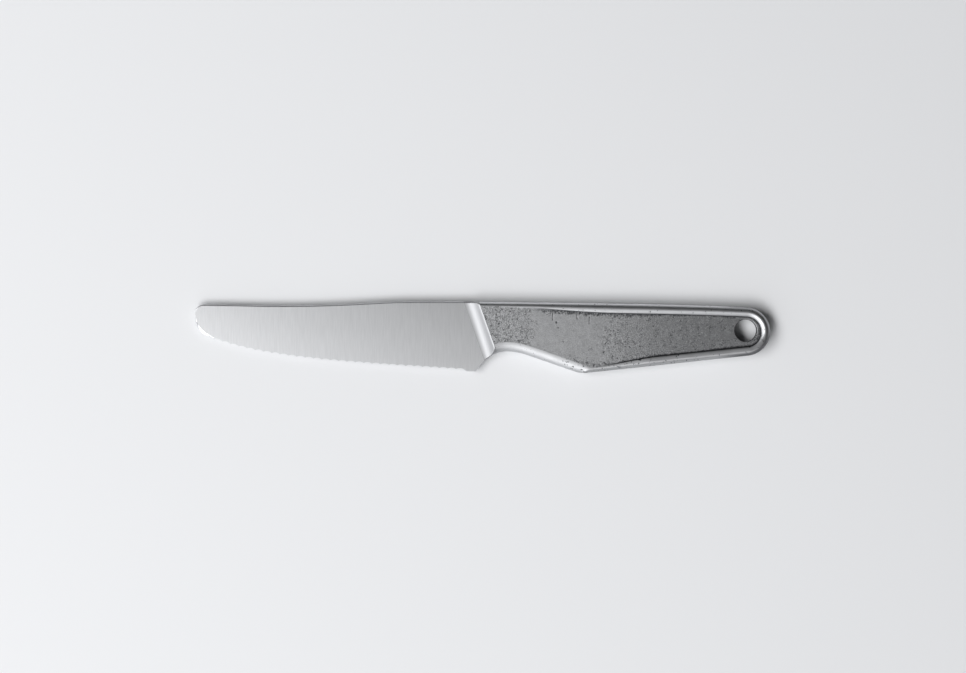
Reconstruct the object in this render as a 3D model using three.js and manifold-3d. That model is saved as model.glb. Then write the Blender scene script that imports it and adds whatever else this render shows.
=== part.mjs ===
// A serrated table knife forged in one piece, lying on its side.
// One bar of stainless steel is ground to a blade at one end and left as forged at the other, with a bolster between.
// Each solid here is one zone of that bar with its own finish: blade, bolster, handle rim and handle web.
// Millimetres. X runs from the tip to the butt, Y towards the spine and Z through the thickness.
import * as THREE from "three";
import { mergeVertices } from "three/addons/utils/BufferGeometryUtils.js";
import Module from "manifold-3d";

const wasm = await Module();
wasm.setup();

// Blade outline: lengths from the ridge towards the tip, depths from the handle's top edge down
const bladeLength = 120;
const spineLift = 0.2; // the ground spine stands this much above the handle's top edge
const dipFrom = 30; // a shallow dip in the spine
const dipAt = 84;
const dipDepth = 1.7;
const dipEntry = 14; // how long the spine stays level as the dip begins, and as it ends
const dipExit = 30;
const tipRise = 0.45; // the spine comes up again towards the tip
const tipRun = 10;
const noseLength = 3.8; // rounded upper corner of the tip
const noseHeight = 3.35;
const frontLength = 8.2; // plain curve from the nose round to the first serration
const frontDepth = 15.55;
const frontSweep = 4.9; // fullness of that curve at its foot and at the nose
const frontDrop = 8.4;
const edgeBackGap = 6.2; // the serrations end this far from the ridge
const edgeBackDepth = 28.65;
const edgeBackReach = 40; // the edge runs nearly straight at the heel and curls up at the front
const edgeBackRise = 2.65;
const edgeFrontReach = 22;
const edgeFrontFall = 8.8;
const heelFrontGap = 5.2; // short plain heel behind the last serration
const heelBackGap = 1.4;
const heelDepth = 29.3;

// Blade thickness, on each side of the middle plane
const spineHalf = 1.2; // spine at the bolster
const heelHalf = 0.25; // edge at the heel
const tipHalf = 0.75; // spine at the tip
const bevelShare = 0.4; // rims of the faces start at this share of the thickness
const spineBevel = 0.35;
const frontBevel = 0.8;
const edgeBevel = 0.12;

// Serrations, ground from the lower face by a round wheel
const scallopPitch = 3.55;
const scallopDepth = 0.6;
const grindAngle = THREE.MathUtils.degToRad(22); // wheel axis against the blade face
const wheelLength = 14;
const wheelFacets = 96;

// Bolster
const ridgeAngle = THREE.MathUtils.degToRad(19.3); // ridge against the Y axis
const filletRun = 6.2; // hollow from the blade up to the ridge
const ridgeLand = 0.5; // narrow flat on top of the ridge

// Handle outline
const handleLength = 123;
const topSlope = THREE.MathUtils.degToRad(0.5); // top edge where it leaves the ridge
const topTurn = THREE.MathUtils.degToRad(2.9); // and where it runs into the butt
const bellyGap = 42.8; // lowest corner of the handle
const bellyDepth = 30.3;
const bellyRound = 3.2;
const fingerAngle = THREE.MathUtils.degToRad(19.65); // straight from the finger hollow to that corner
const fingerEnd = 22;
const fingerReach = 10.6; // fullness of the finger hollow
const choilAngle = THREE.MathUtils.degToRad(56.3); // back of the heel
const choilReach = 11.7;

// Handle section, on each side of the middle plane
const rimHalf = 3.4; // crest of the rim and of the bolster's ridge
const webHalfFront = 3.2; // forged panel at the ridge
const webHalfButt = 2.0; // forged panel at the butt
const rimWidth = 4.5;
const crestInset = 2.8; // crest of the full rim, from the outline
const crestFlat = 0.8;
const spineShoulder = 2.1; // round of the top edge at the ridge
const fingerShoulder = 3.8; // round of the finger hollow
const bellyShoulder = 1.9; // round of the lowest corner
const flushWall = 0.25; // strip between shoulder and panel where the rim has no height
const rimPower = 2.2; // squareness of the shoulders, 2 is an ellipse
const fingerPower = 2.1;
const spineGrowth = [8, 62]; // the rim rises out of the panel between these distances from the ridge
const bellyGrowth = [50, 68];
const fingerFade = [38, 52];

// Hanging hole
const holeRadius = 4.7;
const holeMargin = 0.7; // land between the hole and the rim
const holeDrop = 12.1;

const zoneGap = 0.04; // between neighbouring zones

const { lerp, smoothstep } = THREE.MathUtils;
const point = (x, y) => new THREE.Vector2(x, y);
const heading = (angle) => point(Math.cos(angle), Math.sin(angle));
const step = (from, direction, distance) => from.clone().addScaledVector(direction, distance);
const across = heading(ridgeAngle); // from the blade to the handle, square to the ridge
const down = point(across.y, -across.x); // along the ridge, from the spine to the finger hollow

// Crossing of two straight lines, each a point and a direction
function meet(a, directionA, b, directionB) {
  const between = b.clone().sub(a);
  return step(a, directionA, between.cross(directionB) / directionA.cross(directionB));
}

// Point of a curve that lies a given distance across the ridge, found by halving
function crossing(curve, reach) {
  let [low, high] = [0, 1];
  const rising = curve.getPoint(1).dot(across) > curve.getPoint(0).dot(across);
  for (let i = 0; i < 40; i++) {
    const middle = (low + high) / 2;
    if (curve.getPoint(middle).dot(across) < reach === rising) low = middle;
    else high = middle;
  }
  return { at: (low + high) / 2, point: curve.getPoint((low + high) / 2) };
}

// Blade outline curves
const ridgeTop = point(0, 0);
const spineStart = point(-filletRun / across.x - 1, spineLift);
const bolsterTop = new THREE.LineCurve(ridgeTop, spineStart);
const dipStart = point(-dipFrom, spineLift);
const dipLow = point(-dipAt, spineLift - dipDepth);
const noseTop = point(noseLength - bladeLength, dipLow.y + tipRise);
const spineDip = new THREE.CubicBezierCurve(
  dipStart,
  point(dipStart.x - dipEntry, dipStart.y),
  point(dipLow.x + dipExit, dipLow.y),
  dipLow,
);
const spineTip = new THREE.CubicBezierCurve(
  dipLow,
  point(dipLow.x - tipRun, dipLow.y),
  point(noseTop.x + tipRun, noseTop.y),
  noseTop,
);
const noseDrop = noseTop.y - noseHeight;
const nose = new THREE.EllipseCurve(noseTop.x, noseDrop, noseLength, noseHeight, Math.PI / 2, Math.PI);
const edgeFront = point(frontLength - bladeLength, -frontDepth);
const edgeBack = point(-edgeBackGap, -edgeBackDepth);
const front = new THREE.CubicBezierCurve(
  point(-bladeLength, noseDrop),
  point(-bladeLength, noseDrop - frontDrop),
  step(edgeFront, point(-edgeFrontReach, edgeFrontFall).normalize(), frontSweep),
  edgeFront,
);
const edge = new THREE.CubicBezierCurve(
  edgeFront,
  point(edgeFront.x + edgeFrontReach, edgeFront.y - edgeFrontFall),
  point(edgeBack.x - edgeBackReach, edgeBack.y + edgeBackRise),
  edgeBack,
);
const heelFront = point(-heelFrontGap, -heelDepth);
const heelBack = point(-heelBackGap, -heelDepth);

// Handle outline curves, clockwise from the ridge over the butt to the finger hollow
const buttRadius = holeRadius + holeMargin + rimWidth;
const holeCentre = point(handleLength - buttRadius, -holeDrop);
const topHeading = heading(-topTurn);
const topEnd = step(holeCentre, point(-topHeading.y, topHeading.x), buttRadius);
const top = new THREE.QuadraticBezierCurve(
  ridgeTop,
  meet(ridgeTop, heading(-topSlope), topEnd, topHeading),
  topEnd,
);
const belly = point(bellyGap, -bellyDepth);
const toHole = holeCentre.clone().sub(belly);
const bellyAngle = toHole.angle() - Math.asin(buttRadius / toHole.length());
const bellyHeading = heading(bellyAngle);
const fingerHeading = heading(-fingerAngle);
const bellyEnd = step(holeCentre, point(bellyHeading.y, -bellyHeading.x), buttRadius);
const butt = new THREE.ArcCurve(
  holeCentre.x,
  holeCentre.y,
  buttRadius,
  Math.PI / 2 - topTurn,
  bellyAngle - Math.PI / 2,
  true,
);
const bellyFrom = step(belly, bellyHeading, bellyRound);
const bellyTo = step(belly, fingerHeading, -bellyRound);
const fingerFoot = step(belly, fingerHeading, (fingerEnd - bellyGap) / fingerHeading.x);
const choil = new THREE.CubicBezierCurve(
  heelBack,
  step(heelBack, heading(choilAngle), choilReach),
  step(fingerFoot, fingerHeading, -fingerReach),
  fingerFoot,
);

// Half thickness of the blade and of the forged panel: each falls off evenly, so the faces stay flat
const bladeHalf = (x, y) =>
  spineHalf + ((spineHalf - tipHalf) * x) / bladeLength + ((spineHalf - heelHalf) * y) / heelDepth;
const webHalf = (x) => lerp(webHalfFront, webHalfButt, x / handleLength);

// Quarter of a superellipse from the outline up towards a crest, cut off at a given height: pairs of inset and height
function shoulder(inset, crest, power, height, count) {
  const end = Math.asin(Math.min(1, height / crest) ** (power / 2));
  return Array.from({ length: count + 1 }, (_, i) => {
    const angle = (end * i) / count;
    return [inset * (1 - Math.cos(angle) ** (2 / power)), crest * Math.sin(angle) ** (2 / power)];
  });
}

// Closed solid through matching rings of points, with a flat cap on the first and the last ring
function loft(rings) {
  const count = rings[0].length;
  const positions = rings.flat().flatMap((p) => [p.x, p.y, p.z]);
  const index = [];
  for (let i = 0; i + 1 < rings.length; i++) {
    for (let j = 0; j < count; j++) {
      const a = i * count + j;
      const b = i * count + ((j + 1) % count);
      index.push(a, b, b + count, a, b + count, a + count);
    }
  }
  const last = (rings.length - 1) * count;
  for (const [a, b, c] of capTriangles(rings[0])) index.push(c, b, a);
  for (const [a, b, c] of capTriangles(rings.at(-1))) index.push(last + a, last + b, last + c);
  const geometry = new THREE.BufferGeometry();
  geometry.setAttribute("position", new THREE.Float32BufferAttribute(positions, 3));
  geometry.setIndex(signedVolume(positions, index) < 0 ? index.reverse() : index);
  return geometry;
}

// Triangles of a flat ring, wound the way the ring runs
function capTriangles(ring) {
  const normal = new THREE.Vector3();
  ring.forEach((p, i) => normal.add(p.clone().cross(ring[(i + 1) % ring.length])));
  const turn = new THREE.Quaternion().setFromUnitVectors(normal.normalize(), new THREE.Vector3(0, 0, 1));
  const flat = ring.map((p) => p.clone().applyQuaternion(turn)).map((p) => point(p.x, p.y));
  return THREE.ShapeUtils.triangulateShape(flat, []).map((corners) => {
    const [a, b, c] = corners.map((i) => flat[i]);
    return b.clone().sub(a).cross(c.clone().sub(a)) < 0 ? corners.reverse() : corners;
  });
}

function signedVolume(positions, index) {
  const corner = (i) => new THREE.Vector3().fromArray(positions, 3 * i);
  let total = 0;
  for (let i = 0; i < index.length; i += 3) {
    total += corner(index[i]).dot(corner(index[i + 1]).cross(corner(index[i + 2])));
  }
  return total;
}

// Geometry to solid and back, for cuts
function solidOf(geometry) {
  const bare = new THREE.BufferGeometry().setAttribute("position", geometry.getAttribute("position").clone());
  const merged = mergeVertices(bare.setIndex(geometry.index));
  return new wasm.Manifold(
    new wasm.Mesh({
      numProp: 3,
      vertProperties: merged.attributes.position.array,
      triVerts: new Uint32Array(merged.index.array),
    }),
  );
}

function geometryOf(solid) {
  const mesh = solid.getMesh();
  const geometry = new THREE.BufferGeometry();
  geometry.setAttribute("position", new THREE.BufferAttribute(mesh.vertProperties, 3));
  return geometry.setIndex(new THREE.BufferAttribute(mesh.triVerts, 1));
}

// Points of a curve between two of its parameters, each with its heading
function stretch(curve, count, from = 0, to = 1) {
  return Array.from({ length: count + 1 }, (_, i) => {
    const at = lerp(from, to, i / count);
    const tangent = curve.getTangent(at).multiplyScalar(Math.sign(to - from));
    return { place: curve.getPoint(at), tangent };
  });
}

// Blade: two flat faces that meet the outline in bevels, with scallops ground into the lower face along the edge
function bladeGeometry() {
  const reach = -filletRun - zoneGap;
  const spineLine = new THREE.LineCurve(crossing(bolsterTop, reach).point, dipStart);
  const runs = [
    [stretch(spineLine, 2), spineBevel],
    [stretch(spineDip, 12), spineBevel],
    [stretch(spineTip, 8), spineBevel],
    [stretch(nose, 6), spineBevel],
    [stretch(front, 14), frontBevel],
    [stretch(edge, 60), edgeBevel],
    [stretch(new THREE.LineCurve(edgeBack, heelFront), 1), edgeBevel],
    [stretch(new THREE.LineCurve(heelFront, heelBack), 2), edgeBevel],
    [stretch(choil, 8, 0, crossing(choil, reach).at), spineBevel],
  ];
  const outline = runs.flatMap(([points, bevel], i) =>
    points.slice(i ? 1 : 0).map(({ place }, k, kept) => {
      const before = i ? runs[i - 1][1] : bevel;
      return { place, bevel: lerp(before, bevel, smoothstep(k / kept.length, 0, 0.35)) };
    }),
  );
  const ring = (height, inset) =>
    outline.map(({ place, bevel }, i) => {
      const previous = outline[Math.max(0, i - 1)].place;
      const next = outline[Math.min(outline.length - 1, i + 1)].place;
      const inward = point(previous.y - next.y, next.x - previous.x).normalize();
      if (i === 0) inward.copy(down);
      if (i === outline.length - 1) inward.copy(down).negate();
      const p = step(place, inward, inset * bevel);
      return new THREE.Vector3(p.x, p.y, height * bladeHalf(p.x, p.y));
    });
  const body = loft([ring(-1, 1), ring(-bevelShare, 0), ring(bevelShare, 0), ring(1, 1)]);
  return geometryOf(scallops().reduce((left, wheel) => left.subtract(wheel), solidOf(body)));
}

// Grinding wheels set along the edge: each leaves an arc of the given depth between two points a pitch apart
function scallops() {
  const count = Math.round(edge.getLength() / scallopPitch);
  const wheelRadius = (edge.getLength() / count) ** 2 / (8 * scallopDepth * Math.sin(grindAngle));
  return Array.from({ length: count }, (_, i) => {
    const at = (i + 0.5) / count;
    const place = edge.getPointAt(at);
    const tangent = edge.getTangentAt(at);
    const inward = new THREE.Vector3(-tangent.y, tangent.x, 0);
    const up = new THREE.Vector3(0, 0, 1);
    const axis = inward.clone().multiplyScalar(Math.cos(grindAngle)).addScaledVector(up, -Math.sin(grindAngle));
    const outward = inward.clone().multiplyScalar(-Math.sin(grindAngle)).addScaledVector(up, -Math.cos(grindAngle));
    const apex = new THREE.Vector3(place.x, place.y, 0).addScaledVector(inward, scallopDepth);
    apex.z = bladeHalf(apex.x, apex.y);
    const side = new THREE.Vector3().crossVectors(axis, outward);
    const wheel = new THREE.CylinderGeometry(wheelRadius, wheelRadius, wheelLength, wheelFacets);
    wheel.applyMatrix4(new THREE.Matrix4().makeBasis(side, axis, outward));
    const centre = apex.addScaledVector(outward, wheelRadius);
    return solidOf(wheel.translate(centre.x, centre.y, centre.z));
  });
}

// Bolster: sections along the ridge whose height climbs a hollow arc from the blade to the ridge
function bolsterGeometry() {
  const hollowSteps = 10;
  const cornerSteps = 6;
  const section = (reach, climb) => {
    const upper = crossing(bolsterTop, reach).point;
    const lower = crossing(choil, reach).point;
    const height = (p) => lerp(bladeHalf(p.x, p.y), rimHalf, climb);
    const corner = (p, direction, inset, power) =>
      shoulder(inset, rimHalf, power, height(p), cornerSteps).map(([d, z]) => {
        const q = step(p, direction, d);
        return new THREE.Vector3(q.x, q.y, z);
      });
    const upside = corner(upper, down, spineShoulder, rimPower).concat(
      corner(lower, down.clone().negate(), fingerShoulder, fingerPower).reverse(),
    );
    const underside = upside.slice(1, -1).map((p) => new THREE.Vector3(p.x, p.y, -p.z));
    return upside.concat(underside.reverse());
  };
  const hollow = filletRun - ridgeLand;
  const sections = Array.from({ length: hollowSteps + 1 }, (_, i) => {
    const run = i / hollowSteps;
    const rise = rimHalf - spineHalf;
    const radius = (hollow ** 2 + rise ** 2) / (2 * rise);
    return section(run * hollow - filletRun, (radius - Math.sqrt(radius ** 2 - (run * hollow) ** 2)) / rise);
  });
  return loft([...sections, section(0, 1)]);
}

// Stations along the handle's outline, each with the direction of its section and the sizes of the rim there
function rimStations() {
  const runs = [
    [stretch(top, 26, crossing(top, zoneGap).at, 1), false],
    [stretch(butt, 22), false],
    [stretch(new THREE.LineCurve(bellyEnd, bellyFrom), 18), true],
    [stretch(new THREE.QuadraticBezierCurve(bellyFrom, belly, bellyTo), 6), true],
    [stretch(new THREE.LineCurve(bellyTo, fingerFoot), 6), true],
    [stretch(choil, 10, 1, crossing(choil, zoneGap).at), true],
  ];
  const places = runs.flatMap(([points, under], i) => points.slice(i ? 1 : 0).map((p) => ({ ...p, under })));
  return places.map(({ place, tangent, under }) => {
    const inward = point(tangent.y, -tangent.x);
    const skew = 1 - smoothstep(place.dot(across), zoneGap, rimWidth * 2);
    const direction = inward.clone().lerp(under ? down.clone().negate() : down, skew).normalize();
    direction.divideScalar(direction.dot(inward));
    const growth = smoothstep(place.x, ...(under ? bellyGrowth : spineGrowth));
    const finger = under ? 1 - smoothstep(place.x, ...fingerFade) : 0;
    const plain = under ? lerp(bellyShoulder, fingerShoulder, finger) : spineShoulder;
    const crest = lerp(plain, crestInset, growth);
    return {
      place,
      direction,
      growth,
      crest,
      power: lerp(rimPower, fingerPower, finger),
      width: crest + lerp(flushWall, rimWidth - crestInset, growth),
    };
  });
}

// Rim: a bead carried round the handle, which grows out of the panel towards the butt
function rimGeometry(stations) {
  const shoulderSteps = 7;
  const wallSteps = 4;
  const rings = stations.map(({ place, direction, growth, crest, power, width }) => {
    const panel = webHalf(step(place, direction, width).x);
    const height = lerp(panel, rimHalf, growth);
    const halfFlat = (growth * crestFlat) / 2;
    const profile = shoulder(crest - halfFlat, height, power, height, shoulderSteps);
    for (let i = 0; i <= wallSteps; i++) {
      const share = i / wallSteps;
      const fall = (1 - Math.cos(Math.PI * share)) / 2;
      profile.push([lerp(crest + halfFlat + 0.05, width, share), lerp(height, panel, fall)]);
    }
    const upside = profile.map(([d, z]) => {
      const p = step(place, direction, d);
      return new THREE.Vector3(p.x, p.y, z);
    });
    const underside = upside.slice(1).map((p) => new THREE.Vector3(p.x, p.y, -p.z));
    return upside.concat(underside.reverse());
  });
  return loft(rings);
}

// Web: the forged panel that fills the rim, thinner towards the butt, with the hanging hole
function webGeometry(stations) {
  const outline = stations.map(({ place, direction, width }) => step(place, direction, width + zoneGap));
  const panel = new THREE.Shape(outline);
  panel.holes.push(new THREE.Path().absarc(holeCentre.x, holeCentre.y, holeRadius, 0, 2 * Math.PI));
  const plate = new THREE.ExtrudeGeometry(panel, { depth: 2, bevelEnabled: false, curveSegments: 40 });
  const vertices = plate.translate(0, 0, -1).getAttribute("position");
  for (let i = 0; i < vertices.count; i++) vertices.setZ(i, vertices.getZ(i) * webHalf(vertices.getX(i)));
  return plate;
}

// Finishes
const brushedSteel = new THREE.MeshStandardMaterial({ color: "#c4c5c7", metalness: 1, roughness: 0.34 });
const satinSteel = new THREE.MeshStandardMaterial({ color: "#cbccce", metalness: 1, roughness: 0.24 });
const tumbledSteel = new THREE.MeshStandardMaterial({ color: "#a9aaac", metalness: 1, roughness: 0.28 });
const forgedSteel = new THREE.MeshStandardMaterial({ color: "#77787a", metalness: 0.9, roughness: 0.55 });

const stations = rimStations();
const knife = new THREE.Group();
for (const [name, geometry, material] of [
  ["blade", bladeGeometry(), brushedSteel],
  ["bolster", bolsterGeometry(), satinSteel],
  ["handle_rim", rimGeometry(stations), tumbledSteel],
  ["handle_web", webGeometry(stations), forgedSteel],
]) {
  const zone = new THREE.Mesh(geometry, material);
  zone.name = name;
  knife.add(zone);
}

// The knife lies on its rim and ridge, with the origin under the middle of its box
const box = new THREE.Box3().setFromObject(knife);
const middle = box.getCenter(new THREE.Vector3());
knife.position.set(-middle.x, -middle.y, -box.min.z);

export default knife;
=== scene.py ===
# Looks of a serrated knife forged from one bar of stainless steel, lying on its side on a pale table
import math

import bmesh
import bpy
import numpy as np
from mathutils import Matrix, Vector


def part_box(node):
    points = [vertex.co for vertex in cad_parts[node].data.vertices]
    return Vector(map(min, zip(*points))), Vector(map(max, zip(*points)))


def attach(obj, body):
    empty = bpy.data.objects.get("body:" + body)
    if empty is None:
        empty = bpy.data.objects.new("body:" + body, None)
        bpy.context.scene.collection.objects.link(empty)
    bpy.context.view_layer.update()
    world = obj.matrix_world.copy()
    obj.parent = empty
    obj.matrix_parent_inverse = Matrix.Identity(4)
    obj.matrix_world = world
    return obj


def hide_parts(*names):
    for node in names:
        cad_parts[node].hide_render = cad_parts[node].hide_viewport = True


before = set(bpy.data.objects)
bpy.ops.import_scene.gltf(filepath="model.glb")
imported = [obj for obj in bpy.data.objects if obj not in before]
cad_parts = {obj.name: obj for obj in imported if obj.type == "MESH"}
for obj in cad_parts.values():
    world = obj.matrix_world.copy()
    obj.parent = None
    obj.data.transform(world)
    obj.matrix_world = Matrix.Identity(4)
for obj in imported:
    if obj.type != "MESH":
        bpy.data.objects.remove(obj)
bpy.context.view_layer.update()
mm = 0.001


# Steps, lines and curves

def easeStep(x, low, high):  # 0 at low, 1 at high, smooth between; falls where low is the larger
    t = np.clip((x - low) / (high - low), 0, 1)
    return t * t * (3 - 2 * t)


def mixed(a, b, share):  # a at share 0, b at share 1
    return a + (b - a) * share


def heading(degrees):  # unit vector at an angle
    return np.array([math.cos(math.radians(degrees)), math.sin(math.radians(degrees))])


def leftOf(direction):  # a quarter turn to the left
    return np.array([-direction[1], direction[0]])


def bezier(points, share):  # control points weighted by the binomial rule
    order = len(points) - 1
    weights = [math.comb(order, k) * share**k * (1 - share) ** (order - k) for k in range(order + 1)]
    return sum(w[:, None] * np.array(p, float) for w, p in zip(weights, points))


def ellipseArc(centre, radii, start, end, share):  # angles in degrees
    angle = np.radians(mixed(start, end, share))
    return np.array(centre) + np.stack([radii[0] * np.cos(angle), radii[1] * np.sin(angle)], 1)


def lengthShares(path):  # how far along a line of points each point lies, from 0 to 1
    reach = np.concatenate([[0], np.cumsum(np.linalg.norm(np.diff(path, axis=0), axis=1))])
    return reach / reach[-1]


def pointsAt(path, shares):  # points at these shares of a line's length
    own = lengthShares(path)
    return np.stack([np.interp(shares, own, path[:, i]) for i in range(2)], 1)


def meet(a, directionA, b, directionB):  # crossing of two straight lines
    cross = lambda p, q: p[0] * q[1] - p[1] * q[0]
    return a + directionA * cross(b - a, directionB) / cross(directionA, directionB)


def unevenness(x, y, cell, seed):  # random heights on a square lattice, eased between neighbours
    repeat = 256  # cells before the lattice comes round again
    table = np.random.default_rng(seed).uniform(-1, 1, (repeat, repeat))
    i, j = np.floor(x / cell).astype(int), np.floor(y / cell).astype(int)
    u, v = easeStep(x / cell - i, 0, 1), easeStep(y / cell - j, 0, 1)
    at = lambda a, b: table[a % repeat, b % repeat]
    return mixed(mixed(at(i, j), at(i + 1, j), u), mixed(at(i, j + 1), at(i + 1, j + 1), u), v)


def raggedLine(x, y, waves, seed):  # unevenness of several strengths and sizes, added up
    return sum(strength * unevenness(x, y, size, seed + i) for i, (strength, size) in enumerate(waves))


def patches(x, y, mean, swing, size, least, seed):  # a darkness that comes and goes, up to 1
    return np.clip(mean + swing * unevenness(x, y, size, seed), least, 1)


# Meshes

def makePiece(name, vertices, faces, material, node, sharpAngle, layers=None):
    # millimetres to metres in the shared frame, doubles merged, normals outwards
    mesh = bpy.data.meshes.new(name)
    mesh.from_pydata(((vertices + frameShift) * mm).tolist(), [], faces)
    for layer, values in (layers or {}).items():
        mesh.attributes.new(layer, "FLOAT", "POINT").data.foreach_set("value", values.astype(np.float32))
    work = bmesh.new()
    work.from_mesh(mesh)
    bmesh.ops.remove_doubles(work, verts=work.verts, dist=1e-6)
    bmesh.ops.dissolve_degenerate(work, edges=work.edges, dist=1e-7)
    bmesh.ops.recalc_face_normals(work, faces=work.faces)
    work.to_mesh(mesh)
    work.free()
    mesh.shade_smooth()
    mesh.set_sharp_from_angle(angle=math.radians(sharpAngle))
    mesh.materials.append(material)
    piece = bpy.data.objects.new(name, mesh)
    bpy.context.scene.collection.objects.link(piece)
    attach(piece, "root")
    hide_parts(node)
    print(f"{name}: {len(mesh.polygons)} faces")
    return piece


def gridFaces(rows, columns, first=0, flip=False):  # four-cornered faces of a sheet of points
    corner = (np.arange(rows - 1)[:, None] * columns + np.arange(columns - 1)).ravel() + first
    quads = np.stack([corner, corner + 1, corner + columns + 1, corner + columns], 1)
    return (quads[:, ::-1] if flip else quads).tolist()


def ringFaces(rings, points):  # faces between closed rings, with a cap on the first and the last
    corner = np.arange((rings - 1) * points)
    follow = np.where(corner % points == points - 1, corner - points + 1, corner + 1)
    walls = np.stack([corner, follow, follow + points, corner + points], 1).tolist()
    last = (rings - 1) * points
    return walls + [list(range(points))[::-1], list(range(last, last + points))]


def wallFaces(first, second, line):  # strip between the same line of points on two sheets
    a, b = line[:-1], line[1:]
    return np.stack([first + a, first + b, second + b, second + a], 1).tolist()


def crossSections(upper, lower, nearUpper, nearLower, between, least):
    # straight lines from one outline to the other, with points close together near both ends
    width = np.linalg.norm(lower - upper, axis=1)[:, None]
    room = np.maximum(width, least)
    start, end = np.array(nearUpper) / room, 1 - np.array(nearLower)[::-1] / room
    middle = mixed(start[:, -1:], end[:, :1], np.linspace(0, 1, between + 2)[1:-1])
    share = np.concatenate([start, middle, end], 1)
    plan = upper[:, None] + (lower - upper)[:, None] * share[..., None]
    return plan, share * width, (1 - share) * width


def closedRings(plan, top, bottom):  # over the top from the spine to the edge and back underneath
    over = np.concatenate([plan, top[..., None]], 2)
    under = np.concatenate([plan, bottom[..., None]], 2)[:, :0:-1]
    return np.concatenate([over, under], 1)


# Nodes and colours

noiseLow, noiseHigh = 0.3, 0.7  # nearly all of a noise texture lies between these


def toLinear(hexColour):  # the sRGB curve undone
    parts = np.array([int(hexColour[i:i + 2], 16) / 255 for i in (1, 3, 5)])
    linear = np.where(parts <= 0.04045, parts / 12.92, ((parts + 0.055) / 1.055) ** 2.4)
    return (*linear.tolist(), 1.0)


def addNode(tree, kind, settings, links=None):  # a setting is the node's own or else an input's value
    node = tree.nodes.new("ShaderNode" + kind)
    for name, value in settings.items():
        if isinstance(name, str) and hasattr(node, name):
            setattr(node, name, value)
        else:
            node.inputs[name].default_value = value
    for name, (source, output) in (links or {}).items():
        tree.links.new(source.outputs[output], node.inputs[name])
    return node


def newMaterial(name):
    material = bpy.data.materials.new(name)
    material.use_nodes = True
    material.node_tree.nodes.clear()
    return material, material.node_tree


# Outlines are drawn in millimetres from the point where the bolster's ridge meets the top edge:
# x towards the butt, y towards the spine, z up from the middle plane

blade = {
    "length": 120.0,  # ridge to tip
    "spineLift": 0.2,  # spine above the handle's top edge
    "dipFrom": 30.0,  # shallow dip in the spine
    "dipAt": 84.0,
    "dipDepth": 1.7,
    "dipEase": (14.0, 30.0),  # level stretch where the dip begins and where it ends
    "tipRise": 0.45,  # the spine comes up again towards the tip
    "tipEase": 10.0,
    "nose": (3.8, 3.35),  # rounded upper corner of the tip
    "front": (8.2, 15.55),  # where the plain front curve meets the first serration
    "frontEase": (4.9, 8.4),
    "edgeBack": (6.2, 28.65),  # where the last serration ends
    "edgeBackEase": (40.0, 2.65),
    "edgeFrontEase": (22.0, 8.8),
    "heel": (5.2, 1.4, 29.3),  # plain heel: front, back and depth
    "spineHalf": 1.2,  # half thickness of the spine at the bolster
    "heelHalf": 0.25,  # of the edge at the heel
    "tipHalf": 0.75,  # of the spine at the tip
    "crown": 0.7,  # how far the faces are bowed: 0 is flat, 1 starts level at the spine
    "spineRound": 0.7,  # eased edges
    "choilRound": 0.2,
    "heelRound": 0.15,
    "frontBevel": 0.8,  # bright bevel round the tip
    "edgeLip": 0.04,  # thickness left at the cutting edge
    "scallops": 30,
    "scallopDepth": 0.6,
    "grind": 22.0,  # degrees between the ground facets and the face
    "outlineLeft": 0.35,  # share of the thickness left at the outline outside a bevel
    "streaks": (0.45, 8.0),  # width and length; real scratches are finer, these as coarse as needed to show
    "streakLean": 3.0,  # degrees
    "streakDepth": 0.02,
    "steel": ("#d0d1d3", "#d7d8da"),  # dark and pale streaks
    "roughness": (0.397, 0.403),
    "spineSteps": 120,  # for each of the spine's curves
    "plainSteps": (40, 16, 8),  # down the choil, under the heel and on to the serrations
    "scallopSteps": 18,
    "edgeSamples": 4000,  # of the smooth edge that the scallops are spaced along
    "frontSteps": 110,
    "roundRows": 9,  # mesh rows over the spine's round
    "rowsPastRound": (0.03, 0.1),  # just inside it
    "middleRows": 8,
    "edgeRows": (0, 0.04, 0.1, 0.2, 0.35, 0.5, 0.7, 0.9, 1.1, 1.3, 1.7),  # in from the edge
    "narrow": 7.0,  # sections narrower than this have their rows squeezed together
}

bolster = {
    "tilt": 19.3,  # degrees between the ridge and the blade's width
    "run": 6.2,  # hollow from the blade up to the ridge
    "ridgeHalf": 3.4,
    "hollowPower": 2.45,  # how late the hollow turns up, 2 is nearly a round
    "ridgeRound": 0.5,
    "ridgeSoft": 0.2,  # how gently the hollow turns over at the ridge
    "lines": (0.4, 18.0),  # width and length of the wheel's lines, as coarse as they need to show
    "steel": "#abacae",
    "roughness": (0.56, 0.58),
    "steps": 90,
    "cornerRows": (26, 4.4),  # mesh rows beside each outline, and how far in they reach
    "middleRows": 8,
    "narrow": 9.0,  # as for the blade
}

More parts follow.
